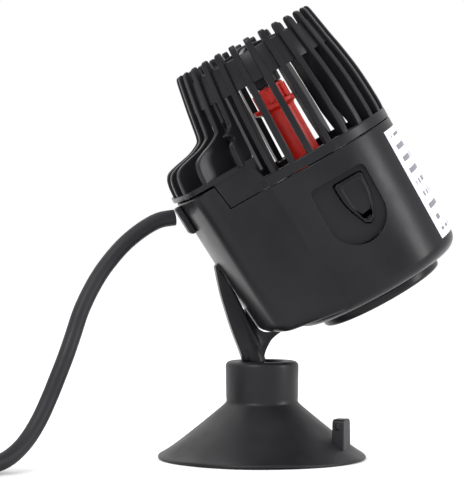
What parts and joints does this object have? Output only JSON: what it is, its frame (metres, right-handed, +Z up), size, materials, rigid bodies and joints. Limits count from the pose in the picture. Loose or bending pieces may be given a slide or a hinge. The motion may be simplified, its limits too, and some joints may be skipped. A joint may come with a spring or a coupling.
{
  "type": "wave maker pump",
  "caption": "Circulation pump for a tank or pond: a propeller in a ribbed cage on a sealed motor, on a ball arm in a suction cup, with a mains lead and plug.",
  "frame": {"origin": "under the middle of the pump's own box, on the plane of the suction cup's rim, without the lead, its coil and the plug", "axes": "+Z up out of the suction cup's rim, the head leans towards -X, and +Y is the side away from the viewer, along the short way through the pump"},
  "size_m": [0.2177, 0.0991, 0.141],
  "materials": {
    "black_plastic": "moulded black plastic, satin with soft bright edges",
    "black_rubber": "soft black rubber, slightly satin",
    "red_plastic": "moulded red plastic, satin",
    "white_plastic": "natural nylon",
    "label_film": "pale printed film with plain grey bars in place of print",
    "lead_sheath": "matte black flexible sheath",
    "plug_plastic": "moulded black plastic, matte",
    "resin": "cast dark epoxy",
    "core_steel": "stacked steel sheets",
    "copper_wire": "enamelled copper wire",
    "magnet": "sintered ferrite, dull dark grey",
    "ceramic": "ground white ceramic",
    "brass_pin": "bright turned metal"
  },
  "bodies": {
    "cup": {"suction_cup": "black_rubber"},
    "socket": {"socket_liner": "black_plastic"},
    "ball": {"ball": "black_plastic"},
    "head": {"housing": "black_plastic", "rear_cap": "black_plastic", "rating_label": "label_film", "motor_cover": "black_plastic", "stator_core": "core_steel", "coil_bobbin_far": "white_plastic", "coil_bobbin_near": "white_plastic", "coil_winding_far": "copper_wire", "coil_winding_near": "copper_wire", "potting_resin": "resin", "rear_shaft_mount": "black_rubber", "rotor_shaft": "ceramic", "thrust_washer_rear": "ceramic", "thrust_washer_front": "ceramic", "ball_arm": "black_plastic", "cord_gland": "black_rubber", "lead": "lead_sheath", "lead_coil": "lead_sheath", "coil_tie": "black_plastic", "plug_body": "plug_plastic", "plug_pin_left": "brass_pin", "plug_pin_right": "brass_pin"},
    "rotor": {"rotor_magnet": "magnet", "rotor_carrier": "red_plastic", "propeller": "black_plastic"},
    "cage": {"cage": "black_plastic", "front_shaft_mount": "black_rubber"},
    "button_near": {"release_button_near": "black_plastic"},
    "button_far": {"release_button_far": "black_plastic"}
  },
  "joints": [
    {"name": "head_pan", "type": "hinge", "parent": "cup", "child": "socket", "pos_m": [-0.01376, 0, 0.0235], "axis": [0, 0, 1], "continuous": true},
    {"name": "head_tilt", "type": "hinge", "parent": "socket", "child": "ball", "pos_m": [-0.01376, 0, 0.0235], "axis": [0, 1, 0], "range_deg": [0, 40]},
    {"name": "head_twist", "type": "hinge", "parent": "ball", "child": "head", "pos_m": [-0.01376, 0, 0.0235], "axis": [-0.309, 0, 0.9511], "range_deg": [-45, 45]},
    {"name": "propeller_spin", "type": "hinge", "parent": "head", "child": "rotor", "pos_m": [0.00061, 0, 0.09296], "axis": [-0.4939, 0, 0.8695], "continuous": true},
    {"name": "cage_release", "type": "slide", "parent": "head", "child": "cage", "axis": [-0.4939, 0, 0.8695], "range_m": [0, 0.05]},
    {"name": "release_button_near_press", "type": "slide", "parent": "head", "child": "button_near", "axis": [0, 1, 0], "range_m": [0, 0.0015], "stiffness_N_per_m": 600},
    {"name": "release_button_far_press", "type": "slide", "parent": "head", "child": "button_far", "axis": [0, -1, 0], "range_m": [0, 0.0015], "stiffness_N_per_m": 600}
  ]
}
